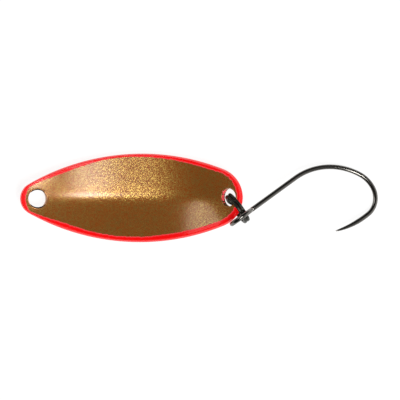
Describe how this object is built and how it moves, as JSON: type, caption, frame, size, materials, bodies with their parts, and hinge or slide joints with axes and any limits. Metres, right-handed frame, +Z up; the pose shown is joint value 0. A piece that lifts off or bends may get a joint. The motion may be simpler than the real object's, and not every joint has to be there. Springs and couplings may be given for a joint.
{
  "type": "spoon lure",
  "caption": "Small trout spoon: a creased, banana-bent painted blade with a line hole, and a barbless single hook hung from its tail by a split ring.",
  "frame": {"origin": "middle of the line hole in the nose, half way through the sheet", "axes": "+X from the nose to the tail, +Z up with the hollow face of the blade upwards, as the lure lies on a table; +Y completes the frame"},
  "size_m": [0.0466, 0.0116, 0.0073],
  "materials": {
    "blade_brass": "bare drilled brass, seen in the holes",
    "bronze_paint": "satin bronze paint with fine metal flake",
    "back_paint": "satin bronze paint with fine metal flake",
    "red_edge_paint": "gloss fluorescent red, laid on by hand",
    "ring_steel": "dark satin plating",
    "hook_steel": "polished black nickel"
  },
  "bodies": {
    "blade": {"blade_blank": "blade_brass", "face_coat": "bronze_paint", "back_coat": "back_paint", "edge_coat": "red_edge_paint"},
    "ring": {"split_ring": "ring_steel"},
    "hook": {"hook": "hook_steel"}
  },
  "joints": [
    {"name": "ring_swing", "type": "hinge", "parent": "blade", "child": "ring", "pos_m": [0.02515, 0, 0.0018], "axis": [-0.6157, 0, 0.788], "range_deg": [-2, 80]},
    {"name": "hook_swing", "type": "hinge", "parent": "ring", "child": "hook", "pos_m": [0.02655, -0.00259, 0.00324], "axis": [0.5821, -0.8131, 0], "range_deg": [-48, 110]}
  ]
}
